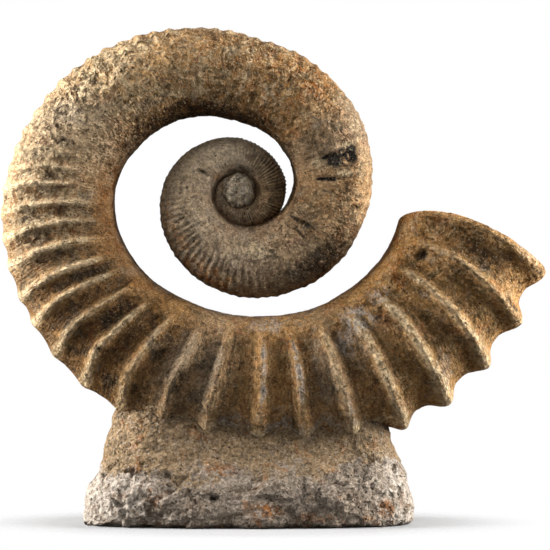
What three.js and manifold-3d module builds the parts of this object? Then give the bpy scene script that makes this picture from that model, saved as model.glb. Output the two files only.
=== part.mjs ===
// An open-coiled ammonite fossil, standing in a saddle on a block of its own rock.
//
// Millimetres, +Z up. X runs along the coil, from the back of the loop (-X) to the mouth (+X).
// Y is the coil's axis. The origin is on the resting face, in the middle of the block.
//
// The shell is one spiral. A place on it is a turn, in degrees about the coil's axis, that grows
// from the first whorl towards the mouth, and a share of the whorl's height, from the dorsum
// (0, the inner side of the coil) to the venter (1, the outer side).

import * as THREE from "three";
import { mergeVertices } from "three/addons/utils/BufferGeometryUtils.js";
import Module from "manifold-3d";

const COIL_AXIS = { x: -6.3, z: 297.4 };
const FIRST_TURN = -270;
const INNER_WHORL_END = 8; // where the tight first whorl runs into the whorl that leaves the coil
const INNER_WHORL_TUCK = 0.4; // slimmer by this, its end lies inside the whorl that follows
const COIL_END = 360; // from here on the whorl stands clear of the coil
const BOLD_RIBS_FROM = 536; // from here on each rib is a tall fold
const MOUTH_TURN = 705.7;

// The whorl at a few turns: how far the dorsum leads the venter, in degrees, the radii of the
// dorsum and of the venter over its rib crests, and half the whorl's breadth.
const WHORL = [
  { turn: -270, lead: 0, dorsum: 4, venter: 15, half: 14 },
  { turn: -180, lead: 0, dorsum: 9, venter: 24.5, half: 15.5 },
  { turn: -90, lead: 2, dorsum: 11.5, venter: 33, half: 17 },
  { turn: -30, lead: 3, dorsum: 12.5, venter: 40, half: 18 },
  { turn: 0, lead: 4, dorsum: 13, venter: 41.2, half: 18.5 },
  { turn: 60, lead: 6, dorsum: 14, venter: 44.4, half: 20 },
  { turn: 120, lead: 8, dorsum: 17.5, venter: 54.5, half: 22 },
  { turn: 180, lead: 8, dorsum: 22.5, venter: 72.3, half: 24.5 },
  { turn: 240, lead: 8, dorsum: 26.5, venter: 87.5, half: 27.5 },
  { turn: 300, lead: 8, dorsum: 34, venter: 102.5, half: 30 },
  { turn: 360, lead: 8, dorsum: 47.4, venter: 117.6, half: 32 },
  { turn: 390, lead: 8, dorsum: 53, venter: 126.6, half: 33 },
  { turn: 420, lead: 8, dorsum: 57.8, venter: 132.8, half: 34.5 },
  { turn: 450, lead: 8, dorsum: 65.5, venter: 143.5, half: 36 },
  { turn: 480, lead: 7, dorsum: 82.4, venter: 167, half: 38 },
  { turn: 510, lead: 5, dorsum: 100.5, venter: 193, half: 40 },
  { turn: 540, lead: 4, dorsum: 114.3, venter: 215.5, half: 42 },
  { turn: 570, lead: 5.5, dorsum: 113.5, venter: 223, half: 44 },
  { turn: 600, lead: 6.5, dorsum: 109, venter: 227, half: 46 },
  { turn: 635, lead: 6, dorsum: 113.8, venter: 235, half: 49 },
  { turn: 666, lead: 7, dorsum: 128.5, venter: 263, half: 52 },
  { turn: 686, lead: 8, dorsum: 139, venter: 275.6, half: 54 },
  { turn: 705.7, lead: 4.6, dorsum: 144.3, venter: 285, half: 55 },
];

// Crests of the bold ribs, as turns on the flank. The mouth ends in one more crest, its lip.
const BOLD_CRESTS = [
  537.9, 543.9, 549.9, 556.6, 564.2, 570.5, 578.3, 587.2, 597.5, 609.5, 620.4, 633.2, 643.3, 653.6,
  664, 673.9, 684.4, 694.6,
];
const LOW_RIB_SPACING = 5; // degrees from crest to crest before the bold ribs

// Ribs at a few turns: depth of the valleys at the venter and on the flank, and the shares of the
// whorl's height where the ribs begin and where they are full.
const RIBS = [
  { turn: 360, venter: 1, flank: 0.8, from: 0.65, full: 0.96 },
  { turn: 450, venter: 2, flank: 1.6, from: 0.65, full: 0.96 },
  { turn: 500, venter: 2.6, flank: 2.4, from: 0.5, full: 0.9 },
  { turn: 530, venter: 3.2, flank: 3.6, from: 0.22, full: 0.6 },
  { turn: 550, venter: 3.8, flank: 4.8, from: 0.08, full: 0.34 },
  { turn: 600, venter: 6.5, flank: 6, from: 0.05, full: 0.24 },
  { turn: 660, venter: 12, flank: 6.8, from: 0.05, full: 0.24 },
  { turn: 706, venter: 13.5, flank: 8, from: 0.05, full: 0.24 },
];
const RIB_SHARPNESS = { flank: 4, venter: 1.8 }; // above 1 crests are narrow and valleys wide
const SHOULDER = [0.65, 1]; // shares of the whorl's height where the flank turns into the venter
const RIB_BOW = { straightAt: 632, perDegree: 0.064, back: -2.5, forward: 4.7 };
const RIB_BOW_SKEW = 0.6; // puts the widest part of the bow nearer the dorsum
// How far a rib swings forward at the venter, in degrees.
const RIB_HOOK = [
  { turn: 520, degrees: 1 },
  { turn: 557, degrees: 1.4 },
  { turn: 571, degrees: 1.9 },
  { turn: 588, degrees: 3.7 },
  { turn: 598, degrees: 3.4 },
  { turn: 610, degrees: 1.2 },
  { turn: 634, degrees: 0.9 },
  { turn: 665, degrees: 0.6 },
  { turn: 705.7, degrees: 0 },
];

const SIDES = 16; // facets round the whorl
const SECTION_POWER = 0.86; // under 1 fills the whorl's shoulders out from a plain ellipse
const BOLD_RIB_STEPS = [0, 0.22, 0.5, 0.78]; // shares of one rib's spacing
const LOW_RIB_STEPS = [0, 0.5];
const COIL_STEP = 11; // degrees, where the ribs are too fine to carry

const LIP = { share: 0.87, depth: 9, taper: 0.1 }; // rim of shell round the rock that fills the mouth
const CORE = { radius: 16.5, half: 16.5, back: 2.7, up: 0.9 }; // worn first chambers of the coil

// The block: its ends and half its depth, from the resting face up into the saddle.
const BLOCK = [
  { z: 0, left: -146, right: 145, half: 62 },
  { z: 5, left: -147.5, right: 147, half: 64 },
  { z: 16, left: -146, right: 148, half: 65 },
  { z: 34, left: -142.5, right: 142.5, half: 61 },
  { z: 46, left: -135, right: 138.5, half: 54 },
  { z: 58, left: -131, right: 135, half: 46 },
  { z: 72, left: -128, right: 129.5, half: 39.5 },
  { z: 86, left: -122.5, right: 126.5, half: 36 },
  { z: 98, left: -120.5, right: 122, half: 32 },
  { z: 114, left: -114, right: 112, half: 26 },
];
const BLOCK_SIDES = 44;
const BLOCK_POWER = 0.62; // 1 is an ellipse in plan, and less has fuller corners
const BLOCK_SWELL = [
  { waves: 3, size: 2.4, lag: 0.6, twist: 0.018 },
  { waves: 5, size: 1.8, lag: 2.1, twist: -0.031 },
  { waves: 9, size: 1.1, lag: 4.4, twist: 0.052 },
]; // weathered swells of its two long sides
const SADDLE_GAP = 0.35; // left between the shell and the block
const SADDLE_TURNS = [566, 690]; // the part of the shell that can reach the block

const SHELL_COLOUR = 0x8a6f4b;
const ROCK_COLOUR = 0x9a9084;

const radians = THREE.MathUtils.degToRad;
const { clamp, lerp, smoothstep } = THREE.MathUtils;

// The value of a column of the tables above at any turn or height, on a smooth curve.
function along(rows, key, column, at) {
  const last = rows.length - 1;
  const found = rows.findIndex((row) => row[key] > at);
  const i = clamp(found < 0 ? last - 1 : found - 1, 0, last - 1);
  const slope = (a, b) => (rows[b][column] - rows[a][column]) / (rows[b][key] - rows[a][key]);
  const step = rows[i + 1][key] - rows[i][key];
  const share = clamp((at - rows[i][key]) / step, 0, 1);
  const before = slope(Math.max(i - 1, 0), i + 1) * step;
  const after = slope(i, Math.min(i + 2, last)) * step;
  const rise = rows[i + 1][column] - rows[i][column];
  const bend = (before - rise) * (1 - share) - (after - rise) * share;
  return rows[i][column] + rise * share + share * (1 - share) * bend;
}

const whorl = (column, turn) => along(WHORL, "turn", column, turn);

// Turns of the rib crests: the low ones counted back from the bold ones.
function ribCrests() {
  const crests = [...BOLD_CRESTS, MOUTH_TURN];
  while (crests[0] - LOW_RIB_SPACING > COIL_END) crests.unshift(crests[0] - LOW_RIB_SPACING);
  return crests;
}

const CRESTS = ribCrests();

// How far a place stands up to the ribs: 1 on a crest, 0 in a valley.
function ribHeight(turn, share) {
  const next = CRESTS.findIndex((crest) => crest > turn);
  if (next === 0) return 0.5; // ribs too fine to carry
  if (next < 0) return 1;
  const phase = (turn - CRESTS[next - 1]) / (CRESTS[next] - CRESTS[next - 1]);
  const sharpness = lerp(RIB_SHARPNESS.flank, RIB_SHARPNESS.venter, smoothstep(share, ...SHOULDER));
  return ((1 + Math.cos(2 * Math.PI * phase)) / 2) ** sharpness;
}

// How far below the rib crests the shell lies.
function valley(turn, share) {
  const rib = (column) => along(RIBS, "turn", column, turn);
  const depth = lerp(rib("flank"), rib("venter"), smoothstep(share, ...SHOULDER));
  return (1 - ribHeight(turn, share)) * depth * smoothstep(share, rib("from"), rib("full"));
}

// The rib's forward bow on the flank and its hook at the venter, in degrees of turn.
function bow(turn, share) {
  const { straightAt, perDegree, back, forward } = RIB_BOW;
  const widest = clamp((turn - straightAt) * perDegree, back, forward);
  const hook = along(RIB_HOOK, "turn", "degrees", turn) * smoothstep(share, ...SHOULDER);
  return widest * Math.sin(Math.PI * share ** RIB_BOW_SKEW) + hook;
}

// A point in the coil's plane and beside it, from a turn, a share of the whorl's height and y.
function place(turn, share, radius, y) {
  const angle = radians(turn + whorl("lead", turn) * (1 - share) + bow(turn, share));
  return new THREE.Vector3(
    COIL_AXIS.x + radius * Math.cos(angle),
    y,
    COIL_AXIS.z + radius * Math.sin(angle),
  );
}

// One ring of points round the whorl, swollen by grow.
function section(turn, grow) {
  const dorsum = whorl("dorsum", turn);
  const height = whorl("venter", turn) - dorsum;
  const half = whorl("half", turn);
  return Array.from({ length: SIDES }, (_, i) => {
    const around = (2 * Math.PI * i) / SIDES;
    const [up, out] = [-Math.cos(around), -Math.sin(around)];
    const share = (1 + Math.sign(up) * Math.abs(up) ** SECTION_POWER) / 2;
    const side = Math.sign(out) * Math.abs(out) ** SECTION_POWER;
    const normal = new THREE.Vector2(up / height, out / (2 * half)).normalize();
    const inwards = valley(turn, share) - grow;
    const radius = dorsum + height * share - inwards * normal.x;
    return place(turn, share, radius, half * side - inwards * normal.y);
  });
}

const middle = (ring) =>
  ring.reduce((sum, p) => sum.add(p), new THREE.Vector3()).divideScalar(ring.length);

// A closed solid through rings of equally many points, with a fan over each end.
function skin(rings) {
  const sides = rings[0].length;
  const points = [...rings.flat(), middle(rings[0]), middle(rings.at(-1))];
  const [firstHub, lastHub] = [points.length - 2, points.length - 1];
  const faces = [];
  for (let i = 0; i < sides; i++) {
    const j = (i + 1) % sides;
    faces.push(firstHub, j, i);
    for (let r = 0; r < rings.length - 1; r++) {
      const [a, b] = [r * sides + i, r * sides + j];
      faces.push(a, b, b + sides, a, b + sides, a + sides);
    }
    const end = (rings.length - 1) * sides;
    faces.push(lastHub, end + i, end + j);
  }
  const geometry = new THREE.BufferGeometry().setFromPoints(points);
  return geometry.setIndex(faces);
}

const wasm = await Module();
wasm.setup();

// A closed three.js geometry as a solid that can be cut and joined.
function solid(geometry) {
  const bare = geometry.clone();
  bare.deleteAttribute("normal");
  bare.deleteAttribute("uv");
  const merged = mergeVertices(bare);
  const triVerts = new Uint32Array(merged.index.array);
  const vertProperties = merged.attributes.position.array;
  return new wasm.Manifold(new wasm.Mesh({ numProp: 3, vertProperties, triVerts }));
}

function geometryOf(made) {
  const { vertProperties, triVerts } = made.getMesh();
  const geometry = new THREE.BufferGeometry();
  geometry.setAttribute("position", new THREE.BufferAttribute(vertProperties, 3));
  geometry.setIndex(new THREE.BufferAttribute(triVerts, 1));
  geometry.computeVertexNormals();
  return geometry;
}

// Turns at which the whorl gets a ring: evenly round the coil, then with the ribs.
function ringTurns(from, to) {
  const turns = [];
  for (let turn = from; turn < CRESTS[0]; turn += COIL_STEP) turns.push(turn);
  CRESTS.slice(0, -1).forEach((crest, i) => {
    const spacing = CRESTS[i + 1] - crest;
    const steps = crest < BOLD_RIBS_FROM ? LOW_RIB_STEPS : BOLD_RIB_STEPS;
    turns.push(...steps.map((step) => crest + step * spacing));
  });
  return [...turns.filter((turn) => turn > from && turn < to), to].reduce(
    (kept, turn) => (turn - kept.at(-1) < 1 ? kept : [...kept, turn]),
    [from],
  );
}

const tube = (from, to, grow = 0) => ringTurns(from, to).map((turn) => section(turn, grow));

// The mouth: a rim of shell, and inside it the rock that fills the last chamber.
function mouthRings(lastRing) {
  const hub = middle(lastRing);
  const backwards = new THREE.Vector3(Math.sin(radians(MOUTH_TURN)), 0, -Math.cos(radians(MOUTH_TURN)));
  const inner = lastRing.map((p) => p.clone().lerp(hub, 1 - LIP.share));
  const filling = inner.map((p) => p.clone().lerp(hub, LIP.taper).addScaledVector(backwards, LIP.depth));
  return [inner, filling];
}

function shellSolid() {
  const open = tube(INNER_WHORL_END, MOUTH_TURN);
  const inner = tube(FIRST_TURN, INNER_WHORL_END + 2 * COIL_STEP, -INNER_WHORL_TUCK);
  const core = new THREE.SphereGeometry(CORE.radius, 14, 8);
  core.scale(1, CORE.half / CORE.radius, 1);
  core.translate(COIL_AXIS.x - CORE.back, 0, COIL_AXIS.z + CORE.up);
  return solid(skin([...open, ...mouthRings(open.at(-1))]))
    .add(solid(skin(inner)))
    .add(solid(core));
}

// How far the block's side stands out from its plain outline.
function swell(around, z) {
  const waves = BLOCK_SWELL.map(
    ({ waves, size, lag, twist }) => size * Math.sin(waves * around + lag + twist * z),
  );
  return waves.reduce((sum, wave) => sum + wave, 0) * Math.sin(around);
}

function blockRing({ z, left, right, half }) {
  return Array.from({ length: BLOCK_SIDES }, (_, i) => {
    const around = (2 * Math.PI * i) / BLOCK_SIDES;
    const [c, s] = [Math.cos(around), Math.sin(around)];
    const x = (left + right) / 2 + ((right - left) / 2) * Math.sign(c) * Math.abs(c) ** BLOCK_POWER;
    const y = half * Math.sign(s) * Math.abs(s) ** BLOCK_POWER;
    return new THREE.Vector3(x, y + swell(around, z), z);
  });
}

function blockSolid() {
  const saddle = skin(tube(...SADDLE_TURNS, SADDLE_GAP));
  return solid(skin(BLOCK.map(blockRing))).subtract(solid(saddle));
}

function piece(name, made, color) {
  const material = new THREE.MeshStandardMaterial({ color, roughness: 0.85, metalness: 0 });
  const mesh = new THREE.Mesh(geometryOf(made), material);
  mesh.name = name;
  return mesh;
}

const fossil = new THREE.Group();
fossil.add(piece("ammonite", shellSolid(), SHELL_COLOUR));
fossil.add(piece("matrix_block", blockSolid(), ROCK_COLOUR));

export default fossil;
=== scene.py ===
"""Looks of an open-coiled ammonite fossil on its block of rock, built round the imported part.

Tables and shapes are in millimetres, turns and angles in degrees. Meshes are made in metres.
"""

import functools
import math

import bpy
import numpy as np
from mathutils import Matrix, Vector, noise


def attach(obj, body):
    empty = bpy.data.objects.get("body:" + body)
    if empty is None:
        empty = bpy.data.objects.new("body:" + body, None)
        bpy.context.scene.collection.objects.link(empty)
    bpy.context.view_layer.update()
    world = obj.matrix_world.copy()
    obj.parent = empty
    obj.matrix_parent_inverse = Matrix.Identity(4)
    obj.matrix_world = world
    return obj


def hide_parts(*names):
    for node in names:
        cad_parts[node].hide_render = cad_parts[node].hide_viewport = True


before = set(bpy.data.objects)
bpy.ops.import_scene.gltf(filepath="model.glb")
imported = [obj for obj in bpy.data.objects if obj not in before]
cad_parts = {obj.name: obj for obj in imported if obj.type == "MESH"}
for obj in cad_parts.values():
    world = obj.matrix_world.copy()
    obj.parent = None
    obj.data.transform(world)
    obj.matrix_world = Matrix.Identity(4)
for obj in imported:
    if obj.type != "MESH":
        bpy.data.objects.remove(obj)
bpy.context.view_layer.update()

bl_info = {
    "name": "Ammonite Fossil",
    "version": (1, 0, 0),
    "blender": (4, 5, 0),
    "location": "View3D > Sidebar > Fossil",
    "description": "Builds an open-coiled ammonite fossil, its rock block and a studio stage",
    "category": "Add Mesh",
}

MM = 0.001

# The shell's spiral

COIL_X, COIL_Z = -6.3, 297.4
FIRST_TURN = -270
INNER_WHORL_END = 8
MOUTH_TURN = 705.7

# turn, how far the dorsum leads the venter, radius of the dorsum, radius of the venter over its
# rib crests, half the breadth
WHORL = (
    (-270, 0, 4, 15, 14),
    (-180, 0, 9, 24.5, 15.5),
    (-90, 2, 11.5, 33, 17),
    (-30, 3, 12.5, 40, 18),
    (0, 4, 13, 41.2, 18.5),
    (60, 6, 14, 44.4, 20),
    (120, 8, 17.5, 54.5, 22),
    (180, 8, 22.5, 72.3, 24.5),
    (240, 8, 26.5, 87.5, 27.5),
    (300, 8, 34, 102.5, 30),
    (360, 8, 47.4, 117.6, 32),
    (390, 8, 53, 126.6, 33),
    (420, 8, 57.8, 132.8, 34.5),
    (450, 8, 65.5, 143.5, 36),
    (480, 7, 82.4, 167, 38),
    (510, 5, 100.5, 193, 40),
    (540, 4, 114.3, 215.5, 42),
    (570, 5.5, 113.5, 223, 44),
    (600, 6.5, 109, 227, 46),
    (635, 6, 113.8, 235, 49),
    (666, 7, 128.5, 263, 52),
    (686, 8, 139, 275.6, 54),
    (705.7, 4.6, 144.3, 285, 55),
)
LEAD, DORSUM, VENTER, HALF = 1, 2, 3, 4
SECTION_POWER = 0.86

# Crests of the bold ribs, as turns on the flank, and the spacing of the low ones before them
BOLD_CRESTS = (
    537.9, 543.9, 549.9, 556.6, 564.2, 570.5, 578.3, 587.2, 597.5, 609.5,
    620.4, 633.2, 643.3, 653.6, 664, 673.9, 684.4, 694.6, 704.7, 714.8,
)  # fmt: skip
LOW_RIB_SPACING = 5
# turn, depth of the valleys at the venter, and on the flank, share of the whorl's height where ribs
# begin, and where they are full
RIBS = (
    (-150, 0, 0, 0.05, 0.3),
    (-100, 0.7, 0.8, 0.1, 0.35),
    (60, 0.8, 1.1, 0.15, 0.4),
    (110, 0.3, 0.5, 0.5, 0.9),
    (200, 0.7, 1.7, 0.35, 0.7),
    (260, 0.8, 1.6, 0.4, 0.75),
    (330, 0.6, 1.0, 0.55, 0.9),
    (450, 1.5, 1.6, 0.65, 0.96),
    (500, 2.6, 2.4, 0.5, 0.9),
    (530, 2.6, 3.4, 0.22, 0.6),
    (550, 2.6, 4.6, 0.08, 0.34),
    (600, 4.0, 6.0, 0.05, 0.24),
    (625, 7.5, 6.3, 0.05, 0.24),
    (660, 12, 6.8, 0.05, 0.24),
    (706, 13.5, 8.0, 0.05, 0.24),
)
VENTER_DEPTH, FLANK_DEPTH, RIB_FROM, RIB_FULL = 1, 2, 3, 4
# Bold ribs are sharp on the flank, more so near the mouth, and blunt at the venter, past the
# shoulder. Low ribs are blunt all over
FLANK_SHARPNESS, MOUTH_SHARPNESS, VENTER_SHARPNESS, LOW_SHARPNESS = 2.4, 3.8, 1.6, 1.2
SHOULDER = (0.65, 1.0)
# Turns over which ribs grow sharper towards the mouth, and over which low ribs give way to bold
SHARPER_TURNS, BLUNTER_TURNS = (552, 596), (535, 480)
# How far ribs wander, as a share of their spacing, and the turns over which they steady
RIB_WANDER, STEADY_TURNS = 0.025, (MOUTH_TURN, 696)
RIB_UNEVEN = 0.14
# Some ribs have a low second ridge beside them: how many, its height, then its place and its half
# width as shares of the rib spacing
SPLIT_RIBS, SPLIT_HEIGHT, SPLIT_PLACE, SPLIT_WIDTH = 0.45, 0.2, 0.26, 0.06
# The dark foot of a rib: its place and its half width in the same shares, how dark it is, and the
# turns over which it sets in
FOOT_PLACE, FOOT_WIDTH, FOOT_DARK, FOOT_TURNS = 0.23, 0.06, 0.5, (560, 610)
BOW_STRAIGHT_AT, BOW_PER_DEGREE, BOW_LIMITS, BOW_SKEW = 632, 0.064, (-2.5, 4.7), 0.6
# turn, how far a rib swings forward at the venter
RIB_HOOK = (
    (520, 1),
    (557, 1.4),
    (571, 1.9),
    (588, 3.7),
    (598, 3.4),
    (610, 1.2),
    (634, 0.9),
    (665, 0.6),
    (705.7, 0),
)

# Rings of the mouth's lip: share of the mouth's own size, how far they stand ahead of it
MOUTH_LIP = ((0.985, 1.0), (0.955, 1.4), (0.92, 0.9), (0.885, -1.0), (0.865, -4.0), (0.85, -7.0))
# The rock that fills the mouth: its depth at the lip, how much deeper its middle is, shares of the
# mouth's size at its first and last rings, number of rings
FILL_DEPTH, FILL_SINK, FILL_SHARES, FILL_RINGS = 8.5, 2.0, (0.82, 0.06), 22

# Worn first chambers: place, radius, half the thickness, how square the button's edge is
CORE_X, CORE_Z, CORE_RADIUS, CORE_HALF, CORE_POWER = -9.5, 298.2, 17, 20, 0.72

# Wear: turn, swell of the surface, roughness of the surface
WEAR = (
    (-270, 0.4, 0.5),
    (0, 0.3, 0.35),
    (250, 0.6, 0.6),
    (360, 1.1, 1.1),
    (450, 1.3, 1.3),
    (515, 1.2, 0.9),
    (545, 0.9, 0.4),
    (580, 0.8, 0.45),
    (706, 1.0, 0.8),
)
WEAR_SWELL, WEAR_ROUGH = 1, 2
# Layers of wear: height, size of the lumps, octaves, shift
SWELL_LAYERS = ((1.0, 55, 2, 0.0),)
ROUGH_LAYERS = ((0.8, 12, 3, 5.3), (0.5, 5, 2, 9.1))
BEAD_LAYERS = ((0.4, 6, 2, 2.9),)
FILL_LAYERS = ((2.2, 26, 3, 1.1), (0.8, 7, 3, 4.2))
CORE_LAYERS = ((1.7, 12, 3, 2.5), (0.9, 4, 2, 6.5))
# Pits in patches of the shell and chips off its crests: depth, size
PIT_DEPTH, PIT_SIZE, PIT_PATCH_SIZE = 1.1, 9, 30
CHIP_DEPTH, CHIP_SIZE = 0.8, 14
# Tints: turn, grey, flaking, bleached with painted light, rusty, dark with painted shade, amber
# dorsum, pale crests, dark valleys
TINTS = (
    (-270, 0.85, 0.4, 0.1, 0, 0.05, 0, 0, 0),
    # On the inner whorl the dark tint is partly its own dark colour and partly painted shade, where
    # the loop shadows it
    (-118, 0.6, 0.2, 0, 0, 0.2, 0, 0.2, 0.5),
    (0, 0.4, 0.12, 0, 0, 0.25, 0, 0.35, 0.7),
    (40, 0.5, 0.1, 0, 0, 0.12, 0.1, 0.4, 0.7),
    # On the coil's left the pale tint is partly bleaching and partly painted light, lightening it
    # where the loop shades it
    (90, 0.85, 0.12, 0.25, 0, 0, 0.1, 0, 0.2),
    (200, 0.85, 0.15, 0.3, 0.1, 0, 0.3, 0.15, 0.4),
    (250, 0.8, 0.3, 0.05, 0.12, 0, 0.4, 0.15, 0.4),
    (295, 0.65, 0.3, 0, 0.1, 0.05, 0.4, 0, 0.2),
    (330, 0.4, 0.3, 0, 0.15, 0.2, 0.4, 0, 0.1),
    (360, 0.3, 0.2, 0, 0.2, 0.19, 0.3, 0, 0.1),
    (392, 0.5, 0.18, 0, 0.1, 0.34, 0.3, 0.1, 0.1),
    (405, 0.2, 0.3, 0, 0.35, 0.28, 0.2, 0.1, 0.1),
    (416, 0.1, 0.35, 0, 0.6, 0.24, 0.2, 0.1, 0.1),
    (430, 0.1, 0.45, 0, 0.5, 0.2, 0.2, 0.15, 0.15),
    (452, 0.15, 0.6, 0, 0.4, 0.1, 0.2, 0.3, 0.2),
    (470, 0.1, 0.9, 0.1, 0.3, 0, 0.3, 0.3, 0.25),
    (498, 0.1, 0.9, 0.4, 0.2, 0, 0.6, 0.35, 0.3),
    (516, 0.5, 0.5, 0.3, 0.05, 0, 0.9, 0.3, 0.3),
    # At the loop's left edge the pale tint is partly bleaching and partly painted light from the
    # left
    (538, 0.3, 0.15, 0.5, 0, 0, 1, 0.5, 0.7),
    (560, 0.15, 0.08, 0.2, 0.05, 0.08, 0.85, 0.6, 1),
    (575, 0.1, 0.1, 0.05, 0.05, 0.2, 0.6, 0.55, 1),
    (598, 0.1, 0.12, 0.05, 0.1, 0.12, 0.25, 0.48, 0.82),
    (612, 0.4, 0.2, 0.05, 0.1, 0, 0.05, 0.27, 0.5),
    (635, 0.1, 0.2, 0.05, 0.35, 0, 0, 0.28, 0.12),
    (652, 0.25, 0.2, 0.05, 0.3, 0, 0, 0.42, 0.18),
    (670, 0.05, 0.2, 0.1, 0.3, 0, 0.2, 0.64, 0.17),
    (706, 0.05, 0.3, 0.05, 0.35, 0, 0.5, 0.28, 0.2),
)
TINT_NAMES = ("grey", "flaky", "pale", "rust", "dark")
AMBER_TINT, CREST_TINT, VALLEY_TINT = 6, 7, 8
# Shares of the whorl's height over which amber gives out and the pale tint, bleaching with painted
# light in places, sets in
AMBER_REACH, PALE_REACH = (0.3, 0.05), (0.05, 0.4)
VALLEY_POWER = 1.5
# The button's pale and chalk tints are partly its own grey and partly painted light, lightening it
# where the outer whorl shades it
CORE_TINT = {"grey": 0.9, "flaky": 0.8, "pale": 1, "rust": 0, "dark": 0, "crest": 0}
CORE_TINT.update({"valley": 0, "amber": 0, "chalk_and_painted_light": 0.6, "fill": 0})
# Marks on the side that faces the viewer: kind, turn, share of the whorl's height, half the reach
# in turn and in share, degrees that it slants over the whorl's height, strength
MARKS = (
    ("dark", 70, 0.2, 25, 0.1, 0, 0.6),
    ("rust", 135, 0.14, 26, 0.05, 0, 0.5),
    ("dark", 150.6, 0.42, 2.5, 0.1, 5, 0.8),
    ("dark", 167, 0.64, 5, 0.05, 0, 0.5),
    ("rust", 230, 0.86, 42, 0.2, 0, 0.9),
    ("flaky", 282, 0.35, 13, 0.15, 0, 1),
    ("pale", 282, 0.35, 11, 0.12, 0, 0.5),
    # Painted shade on the coil's lower right, where it is darkest
    ("dark", 318, 0.8, 20, 0.18, 0, 0.8),
    ("dark", 322, 0.38, 1.6, 0.17, 0, 0.8),
    ("dark", 326, 0.34, 6, 0.2, 0, 0.45),
    ("dark", 330, 0.3, 2, 0.2, 4, 0.9),
    ("dark", 337, 0.24, 2.6, 0.05, 0, 0.8),
    ("dark", 344, 0.79, 1.0, 0.15, 0, 0.6),
    ("dark", 365.5, 0.42, 1.4, 0.16, 0, 1.3),
    ("dark", 366.5, 0.66, 1.1, 0.12, 0, 1),
    ("pale", 373, 0.9, 7, 0.1, 0, 0.2),
    ("pale", 368.5, 0.62, 2, 0.1, 0, 0.7),
    ("pale", 382.8, 0.74, 1.8, 0.16, 0, 0.7),
    ("pale", 376, 0.33, 4.5, 0.1, 0, 0.6),
    ("dark", 377.2, 0.64, 5.2, 0.2, 0, 1.5),
    ("dark", 379.2, 0.45, 1.4, 0.1, 0, 1.3),
    ("pale", 389, 0.88, 3, 0.08, 0, 0.5),
    ("rust", 415.7, 0.76, 4.5, 0.22, 0, 0.8),
    ("dark", 425, 0.66, 1, 0.06, 0, 0.7),
    ("pale", 422.8, 0.47, 0.9, 0.16, 0, 0.6),
    ("pale", 431.5, 0.42, 1.0, 0.2, -8, 0.7),
    ("dark", 439.7, 0.29, 3, 0.05, 0, 0.7),
    ("pale", 445, 0.62, 1.0, 0.3, -7, 0.8),
    # The next two marks are painted shade on the inner edge of the loop's top, which faces down
    ("dark", 456, 0.2, 14, 0.08, 0, 0.5),
    ("dark", 462, 0.04, 58, 0.14, 0, 0.75),
    ("pale", 497, 0.8, 9, 0.15, 0, 0.6),
    ("rust", 503, 0.53, 9, 0.1, 0, 0.9),
    ("pale", 508, 0.74, 3.6, 0.09, 0, 0.9),
    ("dark", 508, 0.82, 1.2, 0.04, 0, 0.8),
    ("dark", 502.7, 0.71, 0.9, 0.05, 0, 0.7),
    ("dark", 493.3, 0.76, 0.8, 0.05, 0, 0.6),
    ("grey", 515.5, 0.66, 4, 0.22, 0, 0.8),
    ("grey", 512, 0.47, 4, 0.12, 0, 0.6),
    ("dark", 524.8, 0.55, 1.5, 0.13, 0, 0.6),
    ("dark", 536, 0.57, 1.2, 0.1, 0, 0.6),
    ("dark", 540.3, 0.57, 1.2, 0.1, 0, 0.6),
    ("dark", 558.4, 0.6, 1.6, 0.18, 0, 0.5),
    ("dark", 567.5, 0.44, 1.6, 0.13, 0, 0.6),
    ("dark", 574.3, 0.42, 1.8, 0.1, 0, 0.55),
    ("dark", 583, 0.4, 2.4, 0.14, 0, 0.8),
    ("dark", 592.3, 0.46, 2.2, 0.11, 0, 0.5),
    ("dark", 587.2, 0.68, 0.8, 0.03, 0, 1),
    ("rust", 608.4, 0.82, 3, 0.08, 0, 0.5),
    ("grey", 607, 0.4, 4, 0.3, 0, 0.6),
    ("grey", 617.4, 0.4, 4, 0.34, 0, 0.7),
    ("dark", 610.3, 0.6, 1.5, 0.13, 0, 0.9),
    ("dark", 612.3, 0.48, 1.0, 0.09, 0, 0.6),
    ("rust", 630.7, 0.62, 1.8, 0.2, 0, 0.5),
    # Painted highlight along a rib crest
    ("chalk_and_painted_light", 633.6, 0.42, 0.9, 0.3, 0, 0.7),
    ("chalk_and_painted_light", 635, 0.06, 7, 0.05, 0, 0.5),
    # This pale skirt and the three chalk marks after it are pale like the rock, and lightened
    # further as painted light where the whorl faces down
    ("pale", 634, 0.93, 30, 0.12, 0, 1),
    ("chalk_and_painted_light", 627, 0.84, 4.5, 0.1, 0, 0.6),
    ("chalk_and_painted_light", 638.5, 0.84, 4.5, 0.1, 0, 0.6),
    ("chalk_and_painted_light", 648.5, 0.86, 4, 0.09, 0, 0.5),
    # Painted highlight along a rib crest
    ("chalk_and_painted_light", 643.6, 0.4, 0.9, 0.24, 0, 0.7),
    ("grey", 650.5, 0.46, 3.4, 0.28, 0, 0.6),
    # Painted highlight along a rib crest
    ("chalk_and_painted_light", 654.4, 0.72, 0.7, 0.12, 0, 0.6),
    ("rust", 657.8, 0.7, 3.2, 0.13, 0, 0.7),
    ("chalk_and_painted_light", 658, 0.28, 2.4, 0.1, 0, 0.5),
    ("chalk_and_painted_light", 664.8, 0.19, 5, 0.09, 0, 0.7),
    ("chalk_and_painted_light", 674, 0.15, 4, 0.05, 0, 0.45),
    ("dark", 670.3, 0.27, 2.6, 0.06, 0, 0.65),
    ("dark", 678.3, 0.58, 3, 0.16, 0, 0.5),
    ("dark", 691.3, 0.2, 2, 0.03, 0, 0.9),
    ("dark", 695.7, 0.88, 0.8, 0.09, 0, 0.9),
    ("dark", 700, 0.55, 1.6, 0.2, 0, 0.7),
)
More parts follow.
